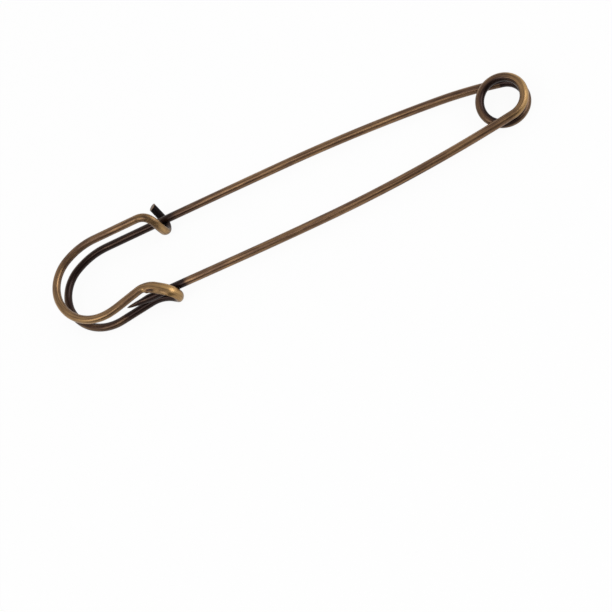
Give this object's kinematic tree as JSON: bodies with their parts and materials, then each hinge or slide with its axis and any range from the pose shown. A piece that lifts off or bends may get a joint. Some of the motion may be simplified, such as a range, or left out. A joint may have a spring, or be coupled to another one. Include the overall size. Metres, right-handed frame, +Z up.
{
  "type": "safety pin",
  "caption": "Large open-wire kilt pin: sprung needle and fixed arm from one coil, a double guard loop that catches the needle, and a wrapped, cut wire end.",
  "frame": {"origin": "centre of the footprint, on the table that the pin lies on", "axes": "+X towards the spring coil, +Y towards the fixed arm, +Z up from the table; the needle's hinge axis leans about 7 degrees from +Z"},
  "size_m": [0.1016, 0.0238, 0.0083],
  "materials": {
    "needle_point": "antique bronze, ground to a point, darkened",
    "needle_arm": "antique bronze, drawn wire",
    "spring_coil": "antique bronze, worn bright outside",
    "fixed_arm": "antique bronze, drawn wire",
    "lower_guard": "antique bronze, dark patina",
    "catch_fold": "antique bronze, worn bright",
    "upper_guard": "antique bronze, lightly worn",
    "wrap_turn": "antique bronze, worn bright",
    "wrap_tail": "antique bronze, black patina, cut end"
  },
  "bodies": {
    "frame": {"fixed_arm": "fixed_arm", "spring_coil": "spring_coil", "lower_guard": "lower_guard", "catch_fold": "catch_fold", "upper_guard": "upper_guard", "wrap_turn": "wrap_turn", "wrap_tail": "wrap_tail"},
    "needle": {"needle_arm": "needle_arm", "needle_point": "needle_point"}
  },
  "joints": [
    {"name": "needle_hinge", "type": "hinge", "parent": "frame", "child": "needle", "pos_m": [0.04584, -0.00095, 0.00331], "axis": [-0.0068, 0.1167, -0.9931], "range_deg": [0, 9.5], "stiffness_Nm_per_rad": 0.8, "springref_deg": -8.59}
  ]
}
